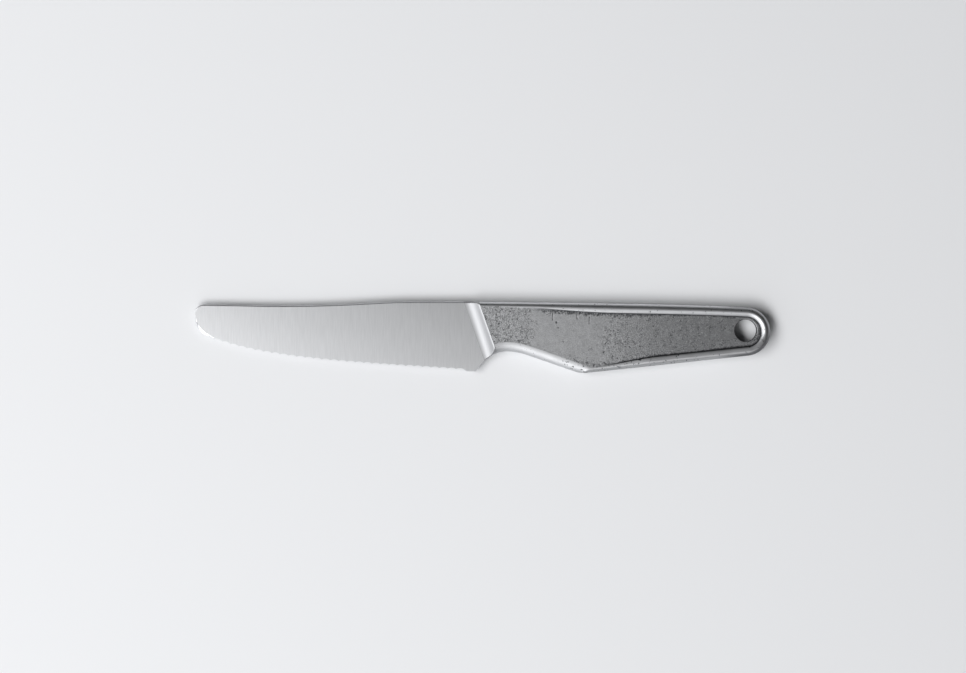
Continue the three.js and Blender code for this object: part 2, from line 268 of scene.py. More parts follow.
handle = {
    "length": 123.0,  # ridge to butt
    "topSlope": 0.5,  # degrees, top edge where it leaves the ridge
    "topTurn": 2.9,  # degrees, where it runs into the butt
    "belly": (42.8, 30.27),  # lowest corner
    "bellyRound": 3.2,
    "bellySoft": 1.5,  # how far in that rounded corner shows
    "fingerAngle": 19.25,  # degrees, straight from the finger hollow to that corner
    "fingerEnd": 22.0,
    "fingerEase": 10.6,
    "choilAngle": 56.3,  # degrees, back of the heel
    "choilEase": 11.7,
    "rimHalf": 3.4,
    "rimWidth": (4.3, 4.0),  # top and belly
    "crestInset": (2.35, 2.2),
    "innerPower": (1.5, 3.6),  # squareness of the bead's inner side, 2 is an ellipse
    "spineShoulder": 1.7,
    "fingerShoulder": 3.8,
    "bellyShoulder": 1.9,
    "flushWall": 0.15,  # strip between the shoulder and the panel where the rim has no height
    "rimPower": 2.2,  # squareness of the shoulders, 2 is an ellipse
    "fingerPower": 2.1,
    "spineGrowth": (2.0, 60.0),  # the rim rises out of the panel between these distances
    "bellyGrowth": (46.0, 76.0),
    "bellyShare": (40.0, 50.0),  # mesh rows shift from the finger's round to the belly's between these
    "webHalf": (3.2, 2.0),  # panel at the ridge and at the butt
    "butt": (10.25, 12.5),  # radius, and depth of its centre below the top edge
    "hole": 4.65,  # radius
    "holeFromButt": (-0.17, 0.44),  # hole's centre from the butt's
    "holeRound": 0.35,
    "skewTo": 8.0,  # sections turn from the ridge's line to square over this distance
    "steps": (260, 140, 150, 36, 48, 70),  # along top, butt, belly, corner, finger line and hollow
    "beadRows": (28, 22),  # mesh rows outside and inside the crest
}


across = heading(bolster["tilt"])  # from the blade to the handle, square to the ridge
down = np.array([across[1], -across[0]])  # along the ridge, from the spine to the finger hollow
bladeLow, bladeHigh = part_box("blade")
rimLow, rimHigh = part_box("handle_rim")
frameShift = np.array([
    bladeLow.x / mm + blade["length"],
    bladeHigh.y / mm - blade["spineLift"],
    (rimLow.z + rimHigh.z) / 2 / mm,
])

# Curves that the zones share
ridgeTop = np.zeros(2)
bolsterFoot = -bolster["run"] / across[0] - 1  # a little past the blade's end
bolsterTop = np.array([ridgeTop, [bolsterFoot, blade["spineLift"]]])
heelFront = np.array([-blade["heel"][0], -blade["heel"][2]])
heelBack = np.array([-blade["heel"][1], -blade["heel"][2]])
buttRadius = handle["butt"][0]
buttCentre = np.array([handle["length"] - buttRadius, -handle["butt"][1]])
holeCentre = buttCentre + handle["holeFromButt"]
belly = np.array([handle["belly"][0], -handle["belly"][1]])
toButt = buttCentre - belly
bellyAngle = math.degrees(
    math.atan2(toButt[1], toButt[0]) - math.asin(buttRadius / np.linalg.norm(toButt)))
bellyHeading = heading(bellyAngle)
fingerHeading = heading(-handle["fingerAngle"])
fingerFoot = belly + fingerHeading * (handle["fingerEnd"] - belly[0]) / fingerHeading[0]
choil = bezier(
    [
        heelBack,
        heelBack + heading(handle["choilAngle"]) * handle["choilEase"],
        fingerFoot - fingerHeading * handle["fingerEase"],
        fingerFoot,
    ],
    np.linspace(0, 1, 400),
)


def crossing(path, reach):  # point of a path that lies a given distance across the ridge
    own = path @ across
    order = np.argsort(own)
    return np.stack([np.interp(reach, own[order], path[order, i]) for i in range(2)], -1)


def bladeHalf(x, y):  # thins evenly towards the tip, and on a slight parabola towards the edge
    towardsTip = (blade["spineHalf"] - blade["tipHalf"]) * x / blade["length"]
    depth = -y / blade["heel"][2]
    bowed = depth * mixed(1, depth, blade["crown"])
    return blade["spineHalf"] + towardsTip - (blade["spineHalf"] - blade["heelHalf"]) * bowed


def webHalf(x):  # thins evenly from the ridge to the butt
    return mixed(*handle["webHalf"], x / handle["length"])


def easedEdge(distance, radius):  # quarter round: 0 at the outline, 1 from the radius inwards
    return np.sqrt(np.clip(1 - (1 - np.clip(distance / radius, 0, 1)) ** 2, 0, 1))


def shoulderHeight(distance, inset, crest, power):  # superellipse from the outline up to the crest
    return crest * (1 - (1 - np.clip(distance / inset, 0, 1)) ** power) ** (1 / power)


# Blade: straight sections from the spine to the edge, with the scallops drawn into the edge's outline

def brushedStainless():
    # stainless steel brushed from spine to edge: a soft sheen with faint streaks across the blade
    streakWidth, streakLength = blade["streaks"]
    smooth, rough = blade["roughness"]
    turn = (0, 0, math.radians(blade["streakLean"]))
    repeat = (1 / (streakWidth * mm), 1 / (streakLength * mm), 1 / mm)
    material, tree = newMaterial("brushedStainless")
    place = addNode(tree, "TexCoord", {})
    lay = addNode(tree, "Mapping", {"Rotation": turn, "Scale": repeat}, {"Vector": (place, "Object")})
    streaks = addNode(tree, "TexNoise", {"Scale": 1.0, "Detail": 2.0}, {"Vector": (lay, "Vector")})
    tint = addNode(tree, "ValToRGB", {}, {"Fac": (streaks, "Fac")})
    for stop, level, colour in zip(tint.color_ramp.elements, (noiseLow, noiseHigh), blade["steel"]):
        stop.position, stop.color = level, toLinear(colour)
    gloss = addNode(
        tree, "MapRange", {"From Min": noiseLow, "From Max": noiseHigh, "To Min": smooth, "To Max": rough},
        {"Value": (streaks, "Fac")})
    relief = addNode(
        tree, "Bump", {"Strength": 0.1, "Distance": blade["streakDepth"] * mm},
        {"Height": (streaks, "Fac")})
    surface = addNode(
        tree, "BsdfPrincipled", {"Metallic": 1.0},
        {"Base Color": (tint, "Color"), "Roughness": (gloss, "Result"), "Normal": (relief, "Normal")})
    addNode(tree, "OutputMaterial", {}, {"Surface": (surface, "BSDF")})
    return material


def spineOutline():
    # level from the bolster, down a smooth dip, up a little to the tip and round its upper corner
    share = np.linspace(0, 1, blade["spineSteps"])
    dipStart = np.array([-blade["dipFrom"], blade["spineLift"]])
    dipLow = np.array([-blade["dipAt"], blade["spineLift"] - blade["dipDepth"]])
    noseTop = np.array([blade["nose"][0] - blade["length"], dipLow[1] + blade["tipRise"]])
    reach = np.array([1.0, 0.0])
    start = crossing(bolsterTop, -bolster["run"])
    leave, arrive = blade["dipEase"]
    dip = bezier([dipStart, dipStart - reach * leave, dipLow + reach * arrive, dipLow], share)
    tip = bezier(
        [dipLow, dipLow - reach * blade["tipEase"], noseTop + reach * blade["tipEase"], noseTop], share)
    noseCentre = noseTop - [0, blade["nose"][1]]
    nose = ellipseArc(noseCentre, blade["nose"], 90, 180, share)
    return np.concatenate([[start], dip, tip[1:], nose[1:]]), noseCentre - [blade["nose"][0], 0]


def edgeOutline(tip):
    # plain heel, scalloped edge and front curve, each with how far its bevel reaches in;
    # a scallop is a parabola between two points of the smooth edge
    front = np.array([blade["front"][0] - blade["length"], -blade["front"][1]])
    back = np.array([-blade["edgeBack"][0], -blade["edgeBack"][1]])
    fall = np.array([1, -1]) * blade["edgeFrontEase"]
    heelRun = choil[choil @ across < -bolster["run"]][::-1]
    heelRun = np.concatenate([[crossing(choil, -bolster["run"])], heelRun])
    choilSteps, heelSteps, backSteps = blade["plainSteps"]
    plain = [
        pointsAt(heelRun, np.linspace(0, 1, choilSteps)),
        mixed(heelBack, heelFront, np.linspace(0, 1, heelSteps)[:, None])[1:],
        mixed(heelFront, back, np.linspace(0, 1, backSteps)[:, None])[1:],
    ]
    steps = blade["scallops"] * blade["scallopSteps"]
    leave = back + [-blade["edgeBackEase"][0], blade["edgeBackEase"][1]]
    smooth = bezier([back, leave, front + fall, front], np.linspace(0, 1, blade["edgeSamples"]))
    edge = pointsAt(smooth, np.linspace(0, 1, steps + 1))[1:]
    leave = front - fall / np.linalg.norm(fall) * blade["frontEase"][0]
    arrive = tip - [0, blade["frontEase"][1]]
    curve = bezier([front, leave, arrive, tip], np.linspace(0, 1, blade["frontSteps"]))[1:]
    course = np.gradient(edge, axis=0)
    inward = np.stack([course[:, 1], -course[:, 0]], 1) / np.linalg.norm(course, axis=1)[:, None]
    phase = (np.arange(1, steps + 1) % blade["scallopSteps"]) / blade["scallopSteps"]
    arc = blade["scallopDepth"] * (1 - (2 * phase - 1) ** 2)
    parts = [*plain, edge + inward * arc[:, None], curve]
    rounds = [blade["choilRound"], blade["heelRound"], blade["heelRound"], blade["heelRound"]]
    bevels = [np.full(len(part), size) for part, size in zip(parts, rounds)]
    widest = np.sin(np.pi * np.linspace(0, 1, len(curve)))  # half way round the tip
    bevels.append(mixed(blade["heelRound"], blade["frontBevel"], widest))
    ground = [np.zeros(len(p)) for p in plain] + [np.ones(len(edge)), np.zeros(len(curve))]
    unscalloped = np.concatenate([*plain, edge, curve])
    return np.concatenate(parts), unscalloped, np.concatenate(bevels), np.concatenate(ground)


def bladePiece():
    # each section is the wedge between the bowed faces, with a quarter round at the spine; at the edge it
    # ends in a small bevel, or in a facet that climbs from the lower face at the slope of the wheel
    spine, tip = spineOutline()
    lower, unscalloped, bevel, ground = edgeOutline(tip)
    keep = slice(0, -1)  # the last point is the tip itself
    upper = pointsAt(spine, lengthShares(unscalloped))[keep]
    lower, bevel, ground = lower[keep], bevel[keep, None], ground[keep, None]
    spineRound = blade["spineRound"]
    spineRows = spineRound * (1 - np.cos(np.linspace(0, np.pi / 2, blade["roundRows"])))
    spineRows = [*spineRows, *(spineRound + past for past in blade["rowsPastRound"])]
    plan, fromSpine, fromEdge = crossSections(
        upper, lower, spineRows, blade["edgeRows"], between=blade["middleRows"], least=blade["narrow"])
    half = bladeHalf(plan[..., 0], plan[..., 1])
    rounded = half * easedEdge(fromSpine, spineRound)
    bevelled = half * mixed(blade["outlineLeft"], 1, np.clip(fromEdge / bevel, 0, 1))
    plain = np.minimum(rounded, bevelled)
    slope = math.tan(math.radians(blade["grind"]))
    facet = np.maximum(-rounded, half - blade["edgeLip"] - fromEdge * slope)
    top = mixed(plain, rounded, ground)
    bottom = mixed(-plain, np.minimum(facet, top - blade["edgeLip"] * (fromSpine > 0)), ground)
    rings = closedRings(plan, top, bottom)
    faces = ringFaces(*rings.shape[:2])
    return makePiece(
        "groundBlade", rings.reshape(-1, 3), faces, brushedStainless(), "blade",
        sharpAngle=25)


# Bolster: sections along the ridge whose height climbs a hollow arc, cut off by the rounded outline

def satinStainless():
    # stainless steel finished on a fine wheel: an even satin that glows where the hollow faces the light
    lineWidth, lineLength = bolster["lines"]
    smooth, rough = bolster["roughness"]
    material, tree = newMaterial("satinStainless")
    place = addNode(tree, "TexCoord", {})
    turn = (0, 0, math.radians(-bolster["tilt"]))
    repeat = (1 / (lineWidth * mm), 1 / (lineLength * mm), 1 / mm)
    lay = addNode(tree, "Mapping", {"Rotation": turn, "Scale": repeat}, {"Vector": (place, "Object")})
    lines = addNode(tree, "TexNoise", {"Scale": 1.0, "Detail": 2.0}, {"Vector": (lay, "Vector")})
    gloss = addNode(
        tree, "MapRange", {"From Min": noiseLow, "From Max": noiseHigh, "To Min": smooth, "To Max": rough},
        {"Value": (lines, "Fac")})
    surface = addNode(
        tree, "BsdfPrincipled", {"Metallic": 1.0, "Base Color": toLinear(bolster["steel"])},
        {"Roughness": (gloss, "Result")})
    addNode(tree, "OutputMaterial", {}, {"Surface": (surface, "BSDF")})
    return material


def bolsterPiece():
    # the height climbs from the blade to the ridge on a power of the distance, eased over at the ridge,
    # and the rounds of the spine and of the finger hollow cut it off
    reach = np.linspace(-bolster["run"], 0, bolster["steps"])
    upper, lower = crossing(bolsterTop, reach), crossing(choil, reach)
    count, depth = bolster["cornerRows"]
    rows = np.linspace(0, 1, count) ** 2 * depth
    plan, fromSpine, fromFinger = crossSections(
        upper, lower, rows, rows, between=bolster["middleRows"], least=bolster["narrow"])
    thin = bladeHalf(plan[..., 0], plan[..., 1])
    run = (reach + bolster["run"]) / (bolster["run"] - bolster["ridgeRound"])
    over = 1 - run ** bolster["hollowPower"]
    climb = 1 - (over + np.sqrt(over**2 + bolster["ridgeSoft"] ** 2)) / 2
    height = mixed(thin, bolster["ridgeHalf"], climb[:, None])
    edges = [
        height * easedEdge(fromSpine, blade["spineRound"]),
        height * mixed(blade["outlineLeft"], 1, np.clip(fromFinger / blade["choilRound"], 0, 1)),
        shoulderHeight(fromSpine, handle["spineShoulder"], bolster["ridgeHalf"], handle["rimPower"]),
        shoulderHeight(fromFinger, handle["fingerShoulder"], bolster["ridgeHalf"], handle["fingerPower"]),
    ]
    top = np.minimum.reduce(edges)
    rings = closedRings(plan, top, -top)
    faces = ringFaces(*rings.shape[:2])
    return makePiece(
        "hollowBolster", rings.reshape(-1, 3), faces, satinStainless(), "bolster",
        sharpAngle=50)


# Rim: a bead carried round the handle's outline, which grows out of the panel towards the butt

rimFinish = {
    "dents": 0.02,  # unevenness left by tumbling
    "dentSize": 2.6,
    "dentFade": 0.5,  # the dents end this close to the panel
    "pitsFrom": (31.0, 37.0),  # scale pits on the lower rim begin and end between these distances
    "pitsTo": (74.0, 96.0),
    "buttFrom": (98.0, 112.0),  # finishes of top and belly give way to the butt's between these
    "footShade": (0.55, 0.15),  # painted shade at the bead's foot, where it meets the panel, begins and is full this close to the panel
    "footGrowth": (0.1, 0.5),  # and where the bead has risen by these shares
    "topSheen": (0.75, 0.3),  # painted reflection: paler steel along the top edge begins and is full this close to the outline
    "handled": 0.35,  # wear in the finger hollow
    "handledFrom": (0.0, 6.0),  # it comes in between these distances from the ridge
    "bellyWallShade": 0.35,  # painted shade on the belly's outer wall
    "bellyReach": (0.6, 0.2),  # begins and is full this close to the outline
    "buttWallShade": (0.2, 0.9),  # painted shade on the butt's outer wall, upper and lower side
    "buttReach": (0.9, 1.6),  # begins this close to the outline on each side
    "buttFull": 0.35,
    "buttSides": (0.2, -0.35),  # upper side gives way to lower between these heights, in radii
    "dentSeeds": (11, 12),  # upper and lower face
    "steel": "#b7b8ba",
    # pale steel for the painted reflection along the top edge, and for wear in the finger hollow
    "sheenAndWearSteel": "#dedfe1",
    # dark scale for the pits, and also the colour of the painted shade on the walls
    "scaleAndShade": "#4c4d50",
    "roughness": (0.43, 0.48),
    "hazeSize": 5.0,  # patches of one roughness or the other
    "fingerRougher": 0.13,  # satin of the finger hollow
    "pitSize": 0.9,
    "pitLevel": (0.71, 0.75),  # a pit begins and is full where its noise passes these
    "pitsLikelier": 0.08,  # added to that noise where pits lie
}


def tumbledStainless():
    # stainless steel tumbled in stones: softly bright, with a few pits that the stones didn't reach;
    # satin and paler where hands wear the finger hollow; paler along the top edge as a painted reflection;
    # darker as painted shade at the bead's foot and on the outer walls of the belly and the butt
    smooth, rough = rimFinish["roughness"]
    pitBegins, pitFull = rimFinish["pitLevel"]
    material, tree = newMaterial("tumbledStainless")
    onPiece = {"Vector": (addNode(tree, "TexCoord", {}), "Object")}
    haze = addNode(tree, "TexNoise", {"Scale": 1 / (rimFinish["hazeSize"] * mm), "Detail": 4.0}, onPiece)
    gloss = addNode(
        tree, "MapRange", {"From Min": noiseLow, "From Max": noiseHigh, "To Min": smooth, "To Max": rough},
        {"Value": (haze, "Fac")})
    hollow = addNode(tree, "Attribute", {"attribute_name": "fingerSatin"})
    satin = addNode(
        tree, "Math", {"operation": "MULTIPLY_ADD", 1: rimFinish["fingerRougher"]},
        {0: (hollow, "Fac"), 2: (gloss, "Result")})
    pits = addNode(tree, "TexNoise", {"Scale": 1 / (rimFinish["pitSize"] * mm), "Detail": 1.0}, onPiece)
    cover = addNode(tree, "Attribute", {"attribute_name": "pitCover"})
    likely = addNode(
        tree, "Math", {"operation": "MULTIPLY_ADD", 1: rimFinish["pitsLikelier"]},
        {0: (cover, "Fac"), 2: (pits, "Fac")})
    depth = addNode(
        tree, "MapRange", {"From Min": pitBegins, "From Max": pitFull, "To Min": 0.0, "To Max": 1.0},
        {"Value": (likely, "Value")})
    # painted shade: darkens the bead's foot and the outer walls of the belly and the butt
    corner = addNode(tree, "Attribute", {"attribute_name": "paintedWallShade"})
    dark = addNode(tree, "Math", {"operation": "MAXIMUM"}, {0: (depth, "Result"), 1: (corner, "Fac")})
    # paler steel: painted reflection along the top edge, and wear in the finger hollow
    sheenAndWear = addNode(tree, "Attribute", {"attribute_name": "paintedSheenAndWear"})
    bright = addNode(
        tree, "Mix",
        {"data_type": "RGBA", 6: toLinear(rimFinish["steel"]), 7: toLinear(rimFinish["sheenAndWearSteel"])},
        {0: (sheenAndWear, "Fac")})
    tint = addNode(
        tree, "Mix", {"data_type": "RGBA", 7: toLinear(rimFinish["scaleAndShade"])},
        {0: (dark, "Value"), 6: (bright, 2)})
    surface = addNode(
        tree, "BsdfPrincipled", {"Metallic": 1.0},
        {"Base Color": (tint, 2), "Roughness": (satin, "Value")})
    addNode(tree, "OutputMaterial", {}, {"Surface": (surface, "BSDF")})
    return material


def handleOutline():
    # top edge on a slight curve, round butt, straight belly, eased corner, finger line and hollow
    topSteps, buttSteps, bellySteps, cornerSteps, fingerSteps, hollowSteps = handle["steps"]
    topHeading = heading(-handle["topTurn"])
    topEnd = buttCentre + leftOf(topHeading) * buttRadius
    bellyEnd = buttCentre - leftOf(bellyHeading) * buttRadius
    bellyFrom = belly + bellyHeading * handle["bellyRound"]
    bellyTo = belly - fingerHeading * handle["bellyRound"]
    share = lambda count: np.linspace(0, 1, count)
    topBend = meet(ridgeTop, heading(-handle["topSlope"]), topEnd, topHeading)
    top = bezier([ridgeTop, topBend, topEnd], share(topSteps))
    turn = (90 - handle["topTurn"], bellyAngle - 90)
    butt = ellipseArc(buttCentre, (buttRadius, buttRadius), *turn, share(buttSteps))
    under = [
        mixed(bellyEnd, bellyFrom, share(bellySteps)[:, None]),
        bezier([bellyFrom, belly, bellyTo], share(cornerSteps)),
        mixed(bellyTo, fingerFoot, share(fingerSteps)[:, None]),
        pointsAt(choil[choil @ across > 0][::-1], share(hollowSteps)),
    ]
    under[-1][-1] = crossing(choil, 0)  # ends on the ridge
    parts = [top, butt, *under]
    path = np.concatenate([part[1 if i else 0:] for i, part in enumerate(parts)])
    return path, np.arange(len(path)) >= len(top) + len(butt) - 1


def rimStations():
    # Places along the outline, each with the direction of its section and the sizes of the bead there.
    # Under the handle the wide round of the finger hollow runs straight on until it meets the belly's bead.
    path, under = handleOutline()
    forward = np.gradient(path, axis=0)
    forward /= np.linalg.norm(forward, axis=1)[:, None]
    inward = np.stack([forward[:, 1], -forward[:, 0]], 1)
    skew = (1 - easeStep(path @ across, 0, handle["skewTo"]))[:, None]
    direction = mixed(inward, np.where(under[:, None], -down, down), skew)
    direction /= np.sum(direction * inward, axis=1)[:, None]
    x = path[:, 0]
    growth = np.where(under, easeStep(x, *handle["bellyGrowth"]), easeStep(x, *handle["spineGrowth"]))
    aroundButt = easeStep((buttCentre[1] - path[:, 1]) / buttRadius, 0, 1) * (x > buttCentre[0])
    lower = np.where(under, 1, aroundButt)  # 0 along the top, 1 along the belly
    fullCrest = mixed(*handle["crestInset"], lower)
    crest = mixed(np.where(under, handle["bellyShoulder"], handle["spineShoulder"]), fullCrest, growth)
    bead = crest + mixed(handle["flushWall"], mixed(*handle["rimWidth"], lower) - fullCrest, growth)
    straight = under & (x > handle["fingerEnd"])
    fingerGap, bellyGap = (path - belly) @ leftOf(fingerHeading), (path - belly) @ leftOf(bellyHeading)
    rounding = np.where(straight, np.clip(np.minimum(fingerGap, bellyGap), 0, None), 0)
    fingerWidth = handle["fingerShoulder"] + handle["flushWall"]
    least = 0.3  # keeps a width finite where its section runs along the line
    toFinger = (fingerWidth - fingerGap) / np.maximum(direction @ leftOf(fingerHeading), least)
    toBelly = (bead - bellyGap) / np.maximum(direction @ leftOf(bellyHeading), least)
    width = np.where(straight, np.maximum(toFinger, toBelly), np.where(under, fingerWidth, bead))
    return {
        "path": path,
        "direction": direction,
        "under": under,
        "straight": straight,
        "growth": growth,
        "crest": crest,
        "bead": bead,
        "width": width,
        "rounding": rounding,
        "squareness": mixed(*handle["innerPower"], lower),
    }


def beadHeight(distance, crest, width, height, panel, power):
    # superellipse from the outline up to the crest, then another down to the panel
    share = np.clip((distance - crest) / (width - crest), 0, 1)
    inner = panel + (height - panel) * (1 - share**power) ** (1 / power)
    return np.where(distance < crest, shoulderHeight(distance, crest, height, handle["rimPower"]), inner)


def rimPiece(stations):
    # each section is the bead's profile from the outline in to the panel, mirrored below; under the handle
    # the lower of the bead and of the finger hollow's wide round is kept
    rim = {name: value if value.ndim > 1 else value[:, None] for name, value in stations.items()}
    path, direction, crest, width = rim["path"], rim["direction"], rim["crest"], rim["width"]
    panel = webHalf((path + direction * width)[:, :1])
    height = mixed(panel, handle["rimHalf"], rim["growth"])
    finger = np.where(rim["under"], 1 - easeStep(path[:, :1], *handle["bellyShare"]), 0)
    knee = np.minimum(mixed(crest, handle["fingerShoulder"], finger), width - handle["flushWall"])
    outer, inner = (np.linspace(0, np.pi / 2, count) for count in handle["beadRows"])
    inset = np.concatenate([knee * (1 - np.cos(outer)), knee + (width - knee) * np.sin(inner[1:])], 1)
    plan = path[:, None] + direction[:, None] * inset[..., None]
    rounding = rim["rounding"] * np.clip(1 - inset / handle["bellySoft"], 0, 1)  # near the eased corner
    fromFinger = np.where(rim["straight"], (plan - belly) @ leftOf(fingerHeading) - rounding, inset)
    fromBelly = np.where(rim["straight"], (plan - belly) @ leftOf(bellyHeading) - rounding, handle["length"])
    fromOutline = np.where(rim["under"], fromBelly, inset)
    own = beadHeight(fromOutline, crest, rim["bead"], height, panel, rim["squareness"])
    fingerRound = shoulderHeight(fromFinger, handle["fingerShoulder"], height, handle["fingerPower"])
    top = np.where(rim["under"], np.minimum(own, fingerRound), own)
    fade = np.clip(top / handle["rimHalf"], 0, 1) * np.clip((width - inset) / rimFinish["dentFade"], 0, 1)
    x, y, size = plan[..., 0], plan[..., 1], rimFinish["dentSize"]
    above, below = (
        rimFinish["dents"] * np.abs(unevenness(x, y, size, seed)) * fade for seed in rimFinish["dentSeeds"])
    rings = closedRings(plan, top - above, below - top)
    faces = ringFaces(*rings.shape[:2])
    return makePiece(
        "tumbledRim", rings.reshape(-1, 3), faces, tumbledStainless(), "handle_rim",
        sharpAngle=60, layers=rimLayers(rim, inset, finger, rings[..., 0]))


def rimLayers(rim, inset, finger, x):
    # where each finish of the rim lies, and its painted shade and painted reflection, from 0 to 1
    path, under = rim["path"], rim["under"]
    beforeButt = 1 - easeStep(path[:, :1], *rimFinish["buttFrom"])
    # painted shade at the bead's foot, and below on the outer walls of the belly and the butt
    foot = easeStep(rim["width"] - inset, *rimFinish["footShade"])
    foot = foot * easeStep(rim["growth"], *rimFinish["footGrowth"])
    bellyWall = rimFinish["bellyWallShade"] * easeStep(inset, *rimFinish["bellyReach"])
    bellyWall = bellyWall * under * (1 - finger) * beforeButt
    lowerSide = easeStep((path[:, 1:] - buttCentre[1]) / buttRadius, *rimFinish["buttSides"])
    buttWall = easeStep(inset, mixed(*rimFinish["buttReach"], lowerSide), rimFinish["buttFull"])
    buttWall = buttWall * mixed(*rimFinish["buttWallShade"], lowerSide) * (1 - beforeButt)
    # painted reflection: the top edge's outer wall is made paler, as if it mirrored the bright table
    sheenAndWear = easeStep(inset, *rimFinish["topSheen"]) * beforeButt
    handled = rimFinish["handled"] * finger * easeStep((path @ across)[:, None], *rimFinish["handledFrom"])
    layers = {
        "paintedWallShade": np.maximum(foot, bellyWall + buttWall),
        "fingerSatin": finger + 0 * inset,
        "paintedSheenAndWear": np.where(under, handled, sheenAndWear),
    }
    layers = {layer: np.concatenate([over, over[:, :0:-1]], 1).ravel() for layer, over in layers.items()}
    pits = easeStep(x, *rimFinish["pitsFrom"]) * (1 - easeStep(x, *rimFinish["pitsTo"])) * under
    return {**layers, "pitCover": pits.ravel()}


# Panel: ruled from the rim's inner edge to a middle line that opens round the hole

forging = {
    "waves": 0.012,  # hammer waves of the panel
    "waveSize": 6.0,
    "grain": 0.006,
    "grainSize": 0.9,
    "columns": 520,
    "rows": 44,
    "evenEdge": 0.6,  # waves and grain fade out this close to the rim
    "holeFrom": 0.875,  # share of the length where the middle line opens round the hole
    "holeEase": 0.6,  # and where it begins to turn towards it
    "holeShade": 0.12,  # painted shade at the hole's edge
    "bareFrom": (21.0, 25.0),  # the scale came off cleanly from here, in distances from the ridge
    "bareTo": (50.0, 55.0),  # to here
    "bareSlant": 0.2,  # lean of that end about the handle's middle
    "middle": -15.0,
    "fringeFrom": (24.0, 30.0),  # scale left along the top rim begins and ends between these
    "fringeTo": (60.0, 78.0),
    "fringeDepth": (0.2, 2.0),  # and thins out between these distances from the rim
    "bellyFrom": (36.0, 42.0),  # the same along the belly
    "bellyDepth": (0.5, 3.5),
    "zoneRagged": ((2.0, 2.5), (1.2, 0.9)),  # strength and size of the waves in these borders
    "rimRagged": 0.5,  # share of that along the rims
    "density": (1.0, 0.72, 1.4, 1.1),  # of scale near the ridge, the butt, the top rim and the belly
    "darkerFrom": (38.0, 100.0),  # the steel darkens towards the butt between these
    "darker": (0.15, 0.45),  # and by this much near the ridge, and near the belly as painted shade along its rim
    "strokes": [  # single marks: from and to, along the handle and below its top edge, and half width
        ((31.1, 4.0), (31.0, 7.6), 0.22),
        ((41.2, 4.5), (41.4, 7.2), 0.22),
        ((46.6, 6.4), (46.4, 9.2), 0.22),
        ((32.6, 8.6), (32.6, 8.7), 0.44),
        ((33.4, 10.8), (33.4, 10.8), 0.38),
        ((92.8, 10.5), (92.7, 10.7), 0.3),
        ((54.3, 16.4), (53.1, 17.9), 0.22),
        ((52.7, 25.4), (54.0, 26.8), 0.3),
    ],
    "strokeDepth": 0.015,
    "strokeEdge": (0.5, 1.6),  # a mark is full and gone this many half widths from its middle
    "strokePatches": (0.75, 0.5, 0.7, 0.7),  # mean darkness, its swing, size of a patch and least darkness
    "cornerScaleAndShade": 0.7,  # width of the dark line in the corner below the rim: scale, and painted shade
    "fringeScale": 1.5,  # the same within the fringe
    "cornerTop": (16.0, 30.0),  # it begins between these along the top rim
    "cornerBelly": (46.0, 60.0),  # and along the belly
    "cornerWiden": (75.0, 100.0),  # where it widens along the belly
    "cornerButt": 1.4,  # and by how much
    "cornerRagged": ((0.5, 1.0), (0.7, 0.45)),  # waves in its border
    "cornerWander": 0.6,  # how far they carry it, in widths
    "cornerEdge": (0.35, 1.2),  # full and gone this many widths from the rim
    "cornerPatches": (0.85, 0.5, 0.4, 0.3),
    "faceSeeds": (21, 31),  # upper and lower face
    "strokeSeed": 41,
    "steel": ("#949597", "#d6d7d9"),  # dark and pale grain
    "steelLevel": (0.0, 0.3),  # shades at which they are reached
    # dark scale for grooves and marks, and also the colour of the painted shade in the corner and at the
    # hole
    "scaleAndShade": "#505153",
    "roughness": (0.455, 0.7),  # of bare steel and of scale
    "grooveSize": 1.0,  # grooves lie where a noise passes its middle
    "grooveEdge": (0.012, 0.04),  # full and gone this far from it
    "breakSize": 1.5,  # a second noise breaks them up
    "breakLevel": (0.72, 0.8),  # they begin and are full where it passes these
    "coverGain": 0.28,  # added to it where scale lies densely
    "speckleSize": 0.42,  # grain in the colour
    "speckle": (0.42, 0.75),  # its strength on bare steel, and what dense scale adds
    "speckleMean": 0.11,
    "blotchSize": 2.2,  # larger patches
    "blotch": 0.16,  # their strength
    "darkenBy": 0.19,  # how much the steel is darkened at most
    "relief": 0.05,  # depth of scale and speckle
}


